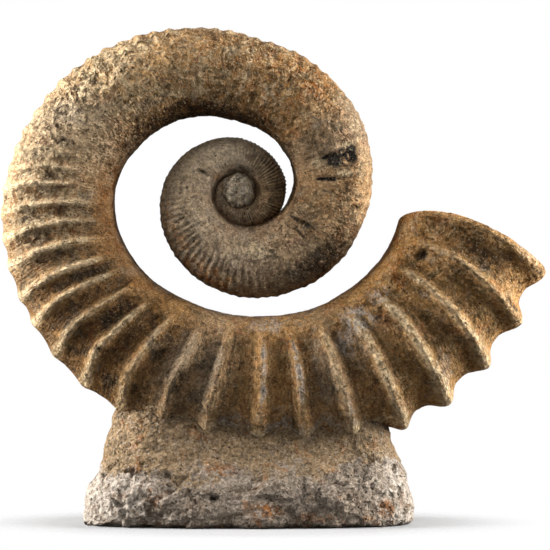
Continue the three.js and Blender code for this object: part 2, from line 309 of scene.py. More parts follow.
# Depths over which marks give out at the coil's plane, layers of their ragged edge, and shares of
# the reach over which marks and dents fade
FRONT = (3, -3)
RAGGED_LAYERS = ((0.4, 8, 3, 4.4),)
MARK_FADE, DENT_FADE = (1.25, 0.6), (1.2, 0.4)
# Dents on the same side: turn, share, half the reach in turn and in share, depth
DENTS = (
    (150.6, 0.42, 2.6, 0.09, 1.2),
    (330, 0.3, 1.6, 0.2, 0.9),
    (322, 0.38, 1.4, 0.17, 0.7),
    (365.5, 0.42, 1.6, 0.15, 1.4),
    (377.2, 0.66, 4.4, 0.16, 2.4),
    (379.4, 0.46, 1.5, 0.1, 2.0),
    (439.7, 0.29, 3, 0.05, 1.2),
    (587.2, 0.68, 0.9, 0.03, 2.2),
    (610.3, 0.6, 1.5, 0.13, 3.6),
    (612.3, 0.48, 1.0, 0.09, 2.0),
    (691.3, 0.2, 1.6, 0.03, 3.0),
    (695.9, 0.88, 0.7, 0.1, 1.8),
)

# The rock block: height, left end, right end, half its depth
BLOCK = (
    (0, -140, 141, 57.5),
    (3, -147, 146.5, 63.5),
    (16, -146, 148, 65),
    (34, -142.5, 142.5, 61),
    (46, -135, 138.5, 54),
    (58, -131, 135, 46),
    (72, -128, 129.5, 39.5),
    (86, -122.5, 126.5, 36),
    (98, -120.5, 122, 32),
    (114, -114, 112, 26),
)
BLOCK_POWER = 0.62
# waves round the block, size, lag, twist with height
BLOCK_SWELL = ((3, 2.4, 0.6, 0.018), (5, 1.8, 2.1, -0.031), (9, 1.1, 4.4, 0.052))
# Marks on the front of the block: kind, place along it, height, half the reach in each, strength
BLOCK_MARKS = (
    ("dark", -29.9, 27.3, 4, 2.2, 1),
    ("dark", -2.5, 45, 2, 7, 0.9),
    # Painted shadow along the edge of a broken face
    ("dark", 50, 36, 2.5, 11, 0.5),
    ("dark", -94, 48, 10, 3, 0.5),
    ("rust", 15.5, 16, 16, 7, 1),
    ("rust", 60, 10, 20, 5, 0.6),
    ("rust", 123, 17, 8, 9, 0.9),
    ("rust", -23, 51, 16, 6, 0.8),
)
BLOCK_DENT = 2.4
BLOCK_FRONT, BLOCK_MARK_FADE = (-15, -30), (1.3, 0.5)
BLOCK_LAYERS = ((1.8, 36, 3, 0.4), (0.6, 7, 3, 8.8))
# Heights over which sandy rock gives way to broken grey rock, and the broken faces: height in sand,
# height added in the grey, size, shift, how far their edges stray, size of the straying
BROKEN_BELOW = (62, 48)
BLOCK_FACES = ((0, 0.26, 30, 4.1, 5, 20), (0.12, 0.2, 10, 7.3, 2, 8))
BLOCK_PIT_DEPTH, BLOCK_PIT_SIZE, BLOCK_PIT_PATCH_SIZE = 1.2, 10, 30
SADDLE_GAP = 0.35
SADDLE_TURNS = (560, 696)

SHELL_RINGS, SHELL_SIDES = 800, 104
INNER_RINGS, INNER_SIDES = 130, 56
# How far the inner whorl runs on inside the outer one, and how much slimmer it is
INNER_OVERLAP, INNER_INSET = 22, 0.4
CORE_RINGS, CORE_SIDES = 40, 64
BLOCK_RINGS, BLOCK_SIDES = 110, 440
SEED = 7


def linear(red, green, blue):
    """A colour given as screen values from 0 to 255, as scene-linear values."""
    return tuple(
        v / 12.92 if v <= 0.04045 else ((v + 0.055) / 1.055) ** 2.4
        for v in (c / 255 for c in (red, green, blue))
    )


def smoothstep(low, high, at):
    share = np.clip((at - low) / (high - low), 0, 1)
    return share * share * (3 - 2 * share)


def along(rows, column, at):
    """One column of a table at any turn or height, on a smooth curve through its rows."""
    table = np.asarray(rows, float)
    keys, values = table[:, 0], table[:, column]
    last = len(keys) - 1
    i = np.clip(np.searchsorted(keys, at, side="right") - 1, 0, last - 1)
    low, high = np.maximum(i - 1, 0), np.minimum(i + 2, last)
    step = keys[i + 1] - keys[i]
    share = np.clip((at - keys[i]) / step, 0, 1)
    before = (values[i + 1] - values[low]) / (keys[i + 1] - keys[low]) * step
    after = (values[high] - values[i]) / (keys[high] - keys[i]) * step
    rise = values[i + 1] - values[i]
    bend = (before - rise) * (1 - share) - (after - rise) * share
    return values[i] + rise * share + share * (1 - share) * bend


def power(wave, exponent):
    return np.sign(wave) * np.abs(wave) ** exponent


def grain(points, size, octaves=3, shift=0.0):
    """Smooth noise, about -1 to 1, at points in millimetres, with lumps about size across."""
    scaled = (points.reshape(-1, 3) / size + shift).tolist()
    values = [noise.fractal(p, 1.0, 2.0, octaves) for p in scaled]
    return np.array(values).reshape(points.shape[:-1])


def layered(points, layers):
    """Noise summed from layers of height, size, octaves and shift."""
    return sum(height * grain(points, *shape) for height, *shape in layers)


def cells(points, size, shift=0.0):
    """Distance to the nearest of scattered points about size apart, 0 at each of them."""
    scaled = (points.reshape(-1, 3) / size + shift).tolist()
    values = [noise.voronoi(p)[0][0] for p in scaled]
    return np.array(values).reshape(points.shape[:-1])


def facets(points, size, shift=0.0):
    """Heights of broken faces about size across, each one with a tilt of its own."""
    scaled = (points.reshape(-1, 3) / size + shift).tolist()
    heights = []
    for p in scaled:
        centre = noise.voronoi(p)[1][0]
        tilt = noise.cell_vector(centre * 61) - Vector((0.5, 0.5, 0.5))
        heights.append((Vector(p) - centre).dot(tilt))
    return size * np.array(heights).reshape(points.shape[:-1])


# Shell


def rib_crests():
    """Turns of the rib crests: the low ones counted back from the bold ones."""
    low = np.arange(BOLD_CRESTS[0] - LOW_RIB_SPACING, RIBS[0][0], -LOW_RIB_SPACING)
    return np.concatenate([low[::-1], BOLD_CRESTS])


def rib_wave(turn, share, base):
    """How far a place stands up to the ribs, 1 on a tall crest, 0 in a valley, and their foot."""
    crests = rib_crests()
    place = np.interp(turn, crests, np.arange(len(crests)))
    place = place + RIB_WANDER * grain(base, 30, 3, 6.1) * smoothstep(*STEADY_TURNS, turn)
    rng = np.random.default_rng(SEED)
    tall = 1 - RIB_UNEVEN * rng.uniform(0, 1, len(crests) + 2)
    split = rng.uniform(0, 1, len(crests) + 2) < SPLIT_RIBS
    nearest = np.round(place).astype(int)
    blunt = smoothstep(*SHOULDER, share)
    sharp = FLANK_SHARPNESS
    sharp += (MOUTH_SHARPNESS - FLANK_SHARPNESS) * smoothstep(*SHARPER_TURNS, turn)
    sharpness = sharp + (VENTER_SHARPNESS - sharp) * blunt
    sharpness += (LOW_SHARPNESS - sharpness) * smoothstep(*BLUNTER_TURNS, turn)
    wave = ((1 + np.cos(2 * np.pi * place)) / 2) ** sharpness
    apart = place - nearest
    beside = np.exp(-(((apart - SPLIT_PLACE) / SPLIT_WIDTH) ** 2)) * split[nearest] * (1 - blunt)
    foot = np.exp(-(((np.abs(apart) - FOOT_PLACE) / FOOT_WIDTH) ** 2)) * (1 - blunt)
    return wave * tall[nearest] + SPLIT_HEIGHT * beside, foot


def bow(turn, share):
    """A rib's forward bow on the flank and its hook at the venter."""
    widest = np.clip((turn - BOW_STRAIGHT_AT) * BOW_PER_DEGREE, *BOW_LIMITS)
    hook = along(RIB_HOOK, 1, turn) * smoothstep(*SHOULDER, share)
    return widest * np.sin(np.pi * share**BOW_SKEW) + hook


def whorl(turns, sides, settings, grow=0.0):
    """Rings of points round the whorl, shaped and worn, with what the finish needs to know."""
    around = 2 * np.pi * np.arange(sides) / sides
    up, out = -np.cos(around), -np.sin(around)
    turn = np.broadcast_to(turns[:, None], (len(turns), sides))
    share = np.broadcast_to((1 + power(up, SECTION_POWER)) / 2, turn.shape)
    dorsum, venter, half, lead = (
        along(WHORL, column, turn) for column in (DORSUM, VENTER, HALF, LEAD)
    )
    height = venter - dorsum
    rise, spread = up / height, out / (2 * half)
    length = np.hypot(rise, spread)
    rise, spread = rise / length, spread / length
    angle = np.radians(turn + lead * (1 - share) + bow(turn, share))

    def surface(sunk):
        radius = dorsum + height * share - sunk * rise
        across = half * power(out, SECTION_POWER) - sunk * spread
        flat = (COIL_X + radius * np.cos(angle), across, COIL_Z + radius * np.sin(angle))
        return np.stack(flat, axis=-1)

    wave, foot = rib_wave(turn, share, surface(0))
    ribbed = smoothstep(along(RIBS, RIB_FROM, turn), along(RIBS, RIB_FULL, turn), share)
    flank, venter_depth = along(RIBS, FLANK_DEPTH, turn), along(RIBS, VENTER_DEPTH, turn)
    depth = flank + (venter_depth - flank) * smoothstep(*SHOULDER, share)
    depth = depth * settings.rib_relief
    points = surface((1 - wave) * depth * ribbed - grow)
    wear = shell_wear(points, turn, share, wave * ribbed, settings)
    points = points + grid_normals(points) * wear[..., None]

    facts = {name: along(TINTS, 1 + i, turn) for i, name in enumerate(TINT_NAMES)}
    facts["crest"] = wave * ribbed * along(TINTS, CREST_TINT, turn)
    sunken = (1 - np.minimum(wave, 1)) ** VALLEY_POWER
    facts["valley"] = sunken * ribbed * along(TINTS, VALLEY_TINT, turn)
    facts["amber"] = smoothstep(*AMBER_REACH, share) * along(TINTS, AMBER_TINT, turn)
    facts["pale"] = facts["pale"] * smoothstep(*PALE_REACH, share)
    dark_foot = FOOT_DARK * foot * ribbed * smoothstep(*FOOT_TURNS, turn)
    facts["dark"] = np.maximum(facts["dark"], dark_foot)
    facts["chalk_and_painted_light"] = np.zeros(turn.shape)
    facts["fill"] = np.zeros(turn.shape)
    add_marks(facts, turn, share, points)
    walk = np.linalg.norm(np.diff(points.mean(1), axis=0), axis=1)
    flow = np.zeros_like(points)
    flow[..., 0] = np.concatenate([[0], np.cumsum(walk)])[:, None]
    flow[..., 1] = share * height
    return points, facts, flow


def add_marks(facts, turn, share, points):
    """Adds the stained and bleached places, and places of painted light and shade, to the tints,
    each with a ragged edge.
    """
    ragged = layered(points, RAGGED_LAYERS)
    front = smoothstep(*FRONT, points[..., 1])
    for kind, at_turn, at_share, turns, shares, slant, strength in MARKS:
        above = share - at_share
        apart = np.hypot((turn - at_turn - slant * above) / turns, above / shares)
        inside = smoothstep(*MARK_FADE, apart + ragged) * front
        facts[kind] = np.maximum(facts[kind], strength * inside)


def grid_normals(points):
    """Outward normals of a grid of rings that close round the second axis."""
    forward = np.gradient(points, axis=0)
    across = np.roll(points, -1, axis=1) - np.roll(points, 1, axis=1)
    normals = np.cross(across, forward)
    return normals / np.linalg.norm(normals, axis=-1, keepdims=True)


def shell_wear(points, turn, share, crest, settings):
    """How far weather has raised or sunk the shell's surface."""
    swell = along(WEAR, WEAR_SWELL, turn) * layered(points, SWELL_LAYERS)
    rough = along(WEAR, WEAR_ROUGH, turn) * layered(points, ROUGH_LAYERS)
    beads = layered(points, BEAD_LAYERS) * crest
    patchy = smoothstep(0.05, 0.45, grain(points, PIT_PATCH_SIZE, 2, 3.7))
    pits = smoothstep(0.32, 0.12, cells(points, PIT_SIZE, 2.2)) * patchy
    chips = smoothstep(0.15, 0.5, grain(points, CHIP_SIZE, 2, 7.7)) * crest
    worn = swell + rough + beads - PIT_DEPTH * pits - CHIP_DEPTH * chips
    worn *= settings.grain_relief
    front = smoothstep(*FRONT, points[..., 1])
    for at_turn, at_share, turns, shares, depth in DENTS:
        apart = np.hypot((turn - at_turn) / turns, (share - at_share) / shares)
        worn -= depth * smoothstep(*DENT_FADE, apart) * front
    return worn


def ring_turns(first, last, count):
    """Turns of the rings: evenly along the whorl, and closer together where it is small."""
    turns = np.linspace(first, last, 4000)
    middle = (along(WHORL, DORSUM, turns) + along(WHORL, VENTER, turns)) / 2
    height = along(WHORL, VENTER, turns) - along(WHORL, DORSUM, turns)
    steps = np.hypot(np.gradient(middle), middle * np.gradient(np.radians(turns)))
    walk = np.cumsum(steps / height**0.75)
    return np.interp(np.linspace(walk[0], walk[-1], count), walk, turns)


def mouth_rings(points, settings):
    """Rounded lip of the mouth, and the rough rock that fills the last chamber."""
    last = points[-1]
    hub = last.mean(0)
    turn = np.radians(MOUTH_TURN)
    forwards = np.array([-np.sin(turn), 0, np.cos(turn)])
    shares = np.linspace(*FILL_SHARES, FILL_RINGS)
    fill = [(share, -FILL_DEPTH - FILL_SINK * (1 - share)) for share in shares]
    rings = [hub + (last - hub) * share + forwards * ahead for share, ahead in (*MOUTH_LIP, *fill)]
    rings = np.stack(rings)
    rough = settings.grain_relief * layered(rings, FILL_LAYERS)
    edge = len(MOUTH_LIP)
    inside = smoothstep(edge - 3, edge + 2, np.arange(len(rings)))[:, None, None]
    return rings + forwards * rough[..., None] * inside, inside[..., 0]


def closed_mesh(name, points, facts=None, flow=None):
    """A mesh through a grid of rings, with a fan over each end, and facts as attributes."""
    rings, sides = points.shape[:2]
    hubs = np.stack([points[0].mean(0), points[-1].mean(0)])
    vertices = np.concatenate([points.reshape(-1, 3), hubs]) * MM
    ring, side = np.meshgrid(np.arange(rings - 1), np.arange(sides), indexing="ij")
    a = (ring * sides + side).ravel()
    b = (ring * sides + (side + 1) % sides).ravel()
    quads = np.stack([a, b, b + sides, a + sides], axis=1)
    i = np.arange(sides)
    j = (i + 1) % sides
    end = (rings - 1) * sides
    first = np.stack([np.full(sides, rings * sides), j, i], axis=1)
    last = np.stack([np.full(sides, rings * sides + 1), end + i, end + j], axis=1)
    mesh = bpy.data.meshes.new(name)
    mesh.from_pydata(vertices.tolist(), [], [*quads.tolist(), *first.tolist(), *last.tolist()])
    for key, values in (facts or {}).items():
        ends = [values[0].mean(), values[-1].mean()]
        add_attribute(mesh, key, np.concatenate([values.ravel(), ends]))
    if flow is not None:
        ends = [flow[0].mean(0), flow[-1].mean(0)]
        add_attribute(mesh, "flow", np.concatenate([flow.reshape(-1, 3), ends]) * MM)
    return mesh


def add_attribute(mesh, name, values):
    kind, slot = ("FLOAT", "value") if values.ndim == 1 else ("FLOAT_VECTOR", "vector")
    attribute = mesh.attributes.new(name, kind, "POINT")
    attribute.data.foreach_set(slot, values.astype(np.float32).ravel())


def add_object(name, data):
    made = bpy.data.objects.new(name, data)
    bpy.context.scene.collection.objects.link(made)
    return made


def combine(target, tool, operation):
    """Joins or cuts target with tool, and removes tool."""
    change = target.modifiers.new("combine", "BOOLEAN")
    change.operation = operation
    change.solver = "MANIFOLD"
    change.object = tool
    bpy.context.view_layer.update()
    evaluated = target.evaluated_get(bpy.context.evaluated_depsgraph_get())
    made = bpy.data.meshes.new_from_object(evaluated)
    target.modifiers.clear()
    old, target.data = target.data, made
    made.name = target.name
    bpy.data.meshes.remove(old)
    tool_mesh = tool.data
    bpy.data.objects.remove(tool)
    bpy.data.meshes.remove(tool_mesh)


def shade_smooth(mesh):
    mesh.polygons.foreach_set("use_smooth", np.ones(len(mesh.polygons), bool))
    mesh.update()


def make_shell(settings):
    turns = ring_turns(INNER_WHORL_END, MOUTH_TURN, SHELL_RINGS)
    points, facts, flow = whorl(turns, SHELL_SIDES, settings)
    extra, filled = mouth_rings(points, settings)
    many = (len(extra), SHELL_SIDES)
    facts = {key: np.concatenate([v, np.broadcast_to(v[-1], many)]) for key, v in facts.items()}
    facts["fill"][-len(extra) :] = filled
    flow = np.concatenate([flow, np.broadcast_to(flow[-1], (*many, 3))])
    mesh = closed_mesh("ammonite_shell", np.concatenate([points, extra]), facts, flow)
    shell = add_object("ammonite_shell", mesh)
    turns = ring_turns(FIRST_TURN, INNER_WHORL_END + INNER_OVERLAP, INNER_RINGS)
    inner = closed_mesh("inner_whorl", *whorl(turns, INNER_SIDES, settings, grow=-INNER_INSET))
    combine(shell, add_object("inner_whorl", inner), "UNION")
    combine(shell, make_core(settings), "UNION")
    shade_smooth(shell.data)
    return shell


def make_core(settings):
    """Worn first chambers: a low rough button at the coil's axis."""
    shape = (CORE_RINGS, CORE_SIDES)
    polar = np.radians(np.linspace(2, 178, CORE_RINGS))[:, None]
    around = 2 * np.pi * np.arange(CORE_SIDES) / CORE_SIDES
    radius = CORE_RADIUS * power(np.sin(polar), CORE_POWER)
    depth = np.broadcast_to(-CORE_HALF * power(np.cos(polar), CORE_POWER), shape)
    flat = (CORE_X + radius * np.cos(around), depth, CORE_Z + radius * np.sin(-around))
    points = np.stack(flat, axis=-1)
    wear = settings.grain_relief * layered(points, CORE_LAYERS)
    points = points - grid_normals(points) * wear[..., None]
    facts = {key: np.full(shape, value) for key, value in CORE_TINT.items()}
    return add_object("core", closed_mesh("core", points, facts, points))


# Rock block


def block_points(settings):
    """Rings of points round the block, worn and broken, with its marks for the finish."""
    height = np.linspace(0, BLOCK[-1][0], BLOCK_RINGS)
    around = 2 * np.pi * np.arange(BLOCK_SIDES) / BLOCK_SIDES
    z = np.broadcast_to(height[:, None], (BLOCK_RINGS, BLOCK_SIDES))
    left, right, half = (along(BLOCK, column, z) for column in (1, 2, 3))
    swell = sum(
        size * np.sin(waves * around + lag + twist * z) for waves, size, lag, twist in BLOCK_SWELL
    )
    x = (left + right) / 2 + (right - left) / 2 * power(np.cos(around), BLOCK_POWER)
    y = half * power(np.sin(around), BLOCK_POWER) + swell * np.sin(around)
    points = np.stack([x, y, z], axis=-1)
    normals = grid_normals(points)
    wear = layered(points, BLOCK_LAYERS)
    broken = smoothstep(*BROKEN_BELOW, z)
    for plain, added, size, shift, stray, stray_size in BLOCK_FACES:
        strayed = points + stray * grain(points, stray_size, 2, 2.6)[..., None]
        wear += (plain + added * broken) * facets(strayed, size, shift)
    patchy = smoothstep(0, 0.4, grain(points, BLOCK_PIT_PATCH_SIZE, 2, 5.5))
    wear -= BLOCK_PIT_DEPTH * smoothstep(0.3, 0.1, cells(points, BLOCK_PIT_SIZE, 1.7)) * patchy
    facts = {"dark": np.zeros(z.shape), "rust": np.zeros(z.shape)}
    front = smoothstep(*BLOCK_FRONT, y)
    for kind, at_x, at_z, wide, tall, strength in BLOCK_MARKS:
        apart = np.hypot((x - at_x) / wide, (z - at_z) / tall)
        inside = smoothstep(*BLOCK_MARK_FADE, apart) * front
        facts[kind] = np.maximum(facts[kind], strength * inside)
    wear -= BLOCK_DENT * facts["dark"]
    moved = points + normals * (settings.grain_relief * wear)[..., None]
    moved[..., 2] = np.maximum(moved[..., 2], 0)
    moved[0, :, 2] = 0
    return moved, facts


def make_block(settings, shell_settings):
    block = add_object("rock_block", closed_mesh("rock_block", *block_points(settings)))
    turns = ring_turns(INNER_WHORL_END, MOUTH_TURN, SHELL_RINGS)
    turns = turns[(turns > SADDLE_TURNS[0]) & (turns < SADDLE_TURNS[1])]
    points, _, _ = whorl(turns, SHELL_SIDES, shell_settings, grow=SADDLE_GAP)
    combine(block, add_object("saddle", closed_mesh("saddle", points)), "DIFFERENCE")
    shade_smooth(block.data)
    return block


# Finishes

STONE_SPECULAR = 0.12


class Finish:
    """A material under construction, with short calls that add and wire its nodes."""

    def __init__(self, name):
        self.material = bpy.data.materials.new(name)
        self.material.use_nodes = True
        self.tree = self.material.node_tree
        self.surface = self.tree.nodes["Principled BSDF"]
        self.place = self.node("ShaderNodeTexCoord").outputs["Object"]
        self.colour = None

    def node(self, kind, **inputs):
        made = self.tree.nodes.new(kind)
        for key, value in inputs.items():
            self.wire(made.inputs[key], value)
        return made

    def wire(self, socket, value):
        if isinstance(value, bpy.types.NodeSocket):
            self.tree.links.new(value, socket)
        elif socket.type == "RGBA" and len(value) == 3:
            socket.default_value = (*value, 1)
        else:
            socket.default_value = value

    def fact(self, name, vector=False):
        made = self.node("ShaderNodeAttribute")
        made.attribute_name = name
        return made.outputs["Vector" if vector else "Fac"]

    def stretched(self, vector, stretch):
        if stretch is None:
            return vector
        return self.node("ShaderNodeMapping", Vector=vector, Scale=stretch).outputs["Vector"]

    def noise(self, size, detail=3, rough=0.55, vector=None, stretch=None, twist=0.0):
        """Noise from 0 to 1 with lumps about size millimetres across."""
        vector = self.stretched(vector or self.place, stretch)
        inputs = {"Vector": vector, "Scale": 1 / (size * MM), "Detail": detail}
        made = self.node("ShaderNodeTexNoise", Roughness=rough, Distortion=twist, **inputs)
        return made.outputs["Fac"]

    def ridges(self, size, vector=None, stretch=None):
        """Crinkled noise, about 0 in hollows and 1 on sharp winding ridges size apart."""
        vector = self.stretched(vector or self.place, stretch)
        made = self.node("ShaderNodeTexNoise")
        made.noise_type = "RIDGED_MULTIFRACTAL"
        shape = {"Detail": 2, "Roughness": 0.6, "Offset": 0.8, "Gain": 2.0}
        for key, value in {"Vector": vector, "Scale": 1 / (size * MM), **shape}.items():
            self.wire(made.inputs[key], value)
        return made.outputs["Fac"]

    def cells(self, size):
        inputs = {"Vector": self.place, "Scale": 1 / (size * MM)}
        return self.node("ShaderNodeTexVoronoi", **inputs).outputs["Distance"]

    def vector(self, operation, first, second):
        made = self.node("ShaderNodeVectorMath")
        made.operation = operation
        self.wire(made.inputs[0], first)
        self.wire(made.inputs[1], second)
        return made.outputs["Value" if operation in ("DOT_PRODUCT", "LENGTH") else "Vector"]

    def shards(self, size):
        """Heights in millimetres of chips about size across, each one with a tilt of its own."""
        spread = self.node("ShaderNodeTexNoise", Vector=self.place, Scale=1 / (size * MM), Detail=1)
        moved = self.vector("SUBTRACT", spread.outputs["Color"], (0.5, 0.5, 0.5))
        moved = self.vector("MULTIPLY", moved, (size * 0.7 * MM,) * 3)
        place = self.vector("ADD", self.place, moved)
        made = self.node("ShaderNodeTexVoronoi", Vector=place, Scale=1 / (size * MM))
        away = self.vector("SUBTRACT", place, made.outputs["Position"])
        tilt = self.vector("SUBTRACT", made.outputs["Color"], (0.5, 0.5, 0.5))
        return self.times(self.vector("DOT_PRODUCT", away, tilt), 1 / MM)

    def between(self, value, low, high, to_low=0.0, to_high=1.0):
        made = self.node("ShaderNodeMapRange")
        made.interpolation_type = "SMOOTHSTEP"
        ends = {"From Min": low, "From Max": high, "To Min": to_low, "To Max": to_high}
        for key, number in {"Value": value, **ends}.items():
            self.wire(made.inputs[key], number)
        return made.outputs["Result"]

    def math(self, operation, first, second=0.0):
        made = self.node("ShaderNodeMath")
        made.operation = operation
        self.wire(made.inputs[0], first)
        self.wire(made.inputs[1], second)
        return made.outputs["Value"]

    def times(self, *values):
        return functools.reduce(functools.partial(self.math, "MULTIPLY"), values)

    def plus(self, *values):
        return functools.reduce(functools.partial(self.math, "ADD"), values)

    def mix(self, share, first, second, mode="MIX"):
        made = self.node("ShaderNodeMix")
        made.data_type, made.blend_type, made.clamp_factor = "RGBA", mode, True
        for key, value in (("Factor_Float", share), ("A_Color", first), ("B_Color", second)):
            socket = next(s for s in made.inputs if s.identifier == key)
            self.wire(socket, value)
        return next(s for s in made.outputs if s.identifier == "Result_Color")

    def coat(self, share, colour, mode="MIX"):
        """Lays a colour over those laid so far."""
        self.colour = self.mix(share, self.colour, colour, mode)

    def stone(self, roughness, height):
        """A matt stone surface in the colours laid so far, raised by a height in millimetres."""
        bump = self.node("ShaderNodeBump", Height=height, Distance=MM)
        self.wire(self.surface.inputs["Base Color"], self.colour)
        self.wire(self.surface.inputs["Roughness"], roughness)
        self.wire(self.surface.inputs["Normal"], bump.outputs["Normal"])
        self.surface.inputs["Specular IOR Level"].default_value = STONE_SPECULAR
        return self.material


def shell_finish(colours):
    """Weathered fossil shell: pale crests, dark stained valleys, a grey coil, flakes and rust, with
    painted light and shade in places.
    """
    f = Finish("weathered_shell")
    tints = ("grey", "flaky", "pale", "rust", "dark", "crest", "valley", "amber", "chalk_and_painted_light", "fill")
    grey, flaky, pale, rust, dark, crest, valley, amber, chalk_and_painted_light, fill = (f.fact(n) for n in tints)
    flow = f.fact("flow", vector=True)
    broad, patch = f.noise(32, 3), f.noise(17, 5, 0.62, twist=0.5)
    mottle, grit = f.noise(6.5, 3, 0.6, twist=0.6), f.noise(2.4, 2, 0.6, twist=0.8)
    hue = f.noise(25, 5, 0.65, twist=0.9)
    streak = f.noise(9, 3, 0.6, flow, (3.2, 0.7, 1.0), 0.5)
    lines = f.ridges(7, flow, (2.4, 0.55, 1.0))
    fibre = f.noise(2.6, 2, 0.6, flow, (1.5, 0.5, 1.0), 0.4)
    crinkle, chips, grains = f.ridges(8), f.shards(7), f.shards(3.6)
    wrinkle = f.ridges(4.2, flow, (1.5, 0.7, 1.0))

    f.colour = f.mix(f.between(broad, 0.4, 0.56), colours.ochre, colours.tan)
    f.coat(f.between(patch, 0.46, 0.34, 0, 0.8), colours.olive)
    f.coat(f.between(hue, 0.54, 0.64, 0, 0.65), colours.rust)
    f.coat(f.between(hue, 0.44, 0.34, 0, 0.55), colours.taupe)
    f.coat(f.times(grey, f.between(patch, 0.3, 0.55, 0.65, 1)), colours.taupe)
    f.coat(f.times(amber, f.between(patch, 0.35, 0.6, 1, 0.5)), colours.amber)
    f.coat(f.times(rust, f.between(mottle, 0.44, 0.58)), colours.rust)
    hollow = f.times(valley, f.between(streak, 0.3, 0.62, 0.75, 1))
    f.coat(hollow, colours.valley, "MULTIPLY")
    smudge = f.noise(15, 2, 0.5, twist=0.3)
    soot = f.times(f.between(valley, 0.1, 0.4), f.between(smudge, 0.5, 0.64), 0.62)
    f.coat(soot, colours.stain_and_painted_shade)
    ridge = f.times(f.between(crest, 0.15, 0.6, 0, 0.9), f.between(mottle, 0.36, 0.56, 0.35, 1))
    f.coat(ridge, colours.crest)
    # The pale tint: bleaching, and painted light on the coil's left, the loop's left edge, the
    # button and under the whorl
    f.coat(f.times(pale, f.between(mottle, 0.4, 0.55)), colours.crest)
    # Chalk marks: dust, painted highlights along rib crests, and painted light under the whorl and
    # on the button
    f.coat(f.times(chalk_and_painted_light, f.between(mottle, 0.38, 0.55)), colours.chalk_and_painted_light)
    # Dark marks and tints: stains, and painted shade on the inner whorl, the loop's inner edge and
    # the coil's lower right
    f.coat(f.times(dark, f.between(mottle, 0.68, 0.48)), colours.stain_and_painted_shade)
    f.coat(fill, f.mix(patch, colours.ochre, colours.taupe))
    uneven = f.plus(f.noise(24, 6, 0.7, twist=0.8), f.times(crinkle, 0.14))
    plain = f.between(f.math("MAXIMUM", valley, dark), 0.2, 0.7, 1, 0.1)
    crust = f.times(f.between(uneven, 0.58, 0.68), f.between(flaky, 0, 1, 0.1, 0.75), plain)
    f.coat(crust, colours.crust)
    bare = f.times(f.between(uneven, 0.52, 0.42), f.between(flaky, 0, 1, 0.2, 0.6))
    f.coat(bare, colours.valley, "MULTIPLY")
    raised = f.times(f.between(crinkle, 0.85, 1.1), f.between(flaky, 0, 1, 0.05, 0.4), plain)
    f.coat(raised, colours.crest)
    folded = f.times(f.between(wrinkle, 0.75, 1.1), f.between(flaky, 0.1, 0.8, 0, 0.45), plain)
    f.coat(folded, colours.crest)
    pits = f.times(f.between(f.cells(3.6), 0.34, 0.14), f.between(mottle, 0.54, 0.62))
    sunk = f.times(f.between(crinkle, 0.24, 0.06), f.between(flaky, 0, 1, 0.2, 0.6))
    sunk = f.math("MAXIMUM", pits, sunk)
    f.coat(f.times(sunk, 0.8), colours.stain_and_painted_shade)
    combed = f.between(grey, 0.5, 0.9, 1, 0.1)
    scored = f.times(f.between(lines, 0.3, 0.1), f.between(flaky, 0.1, 0.6, 0.3, 0), combed)
    f.coat(scored, colours.stain_and_painted_shade)
    f.coat(1.0, f.between(grit, 0.3, 0.7, 0.66, 1.34), "MULTIPLY")
    f.coat(1.0, f.between(fibre, 0.34, 0.66, 0.86, 1.14), "MULTIPLY")
    speck, worn = f.noise(1.8, 2, 0.6), f.between(flaky, 0, 0.6, 0.25, 1)
    f.coat(f.times(f.between(speck, 0.58, 0.68, 0, 0.7), worn), colours.crest)
    f.coat(f.times(f.between(speck, 0.4, 0.3, 0, 0.65), worn), colours.stain_and_painted_shade)

    relief = (
        f.times(crinkle, f.between(flaky, 0, 1, 0.1, 1.5)),
        f.times(chips, f.between(flaky, 0, 1, 0.1, 1.2)),
        f.times(grains, f.between(flaky, 0, 0.6, 0.45, 1.4)),
        f.times(lines, f.between(flaky, 0, 0.6, 0.5, 0), combed),
        f.times(mottle, f.between(flaky, 0, 1, 0.8, 2.2)),
        f.times(streak, f.between(flaky, 0, 1, 0.8, 0.4), combed),
        f.times(grit, f.between(flaky, 0, 0.6, 0.7, 1.3)),
        f.times(fibre, 0.4),
        f.times(wrinkle, f.between(flaky, 0.1, 0.8, 0.1, 1.1)),
        f.times(crust, 0.9),
        f.times(bare, -0.9),
        f.times(pits, -1.3),
    )
    return f.stone(f.between(mottle, 0.3, 0.7, 0.72, 0.95), f.plus(*relief))


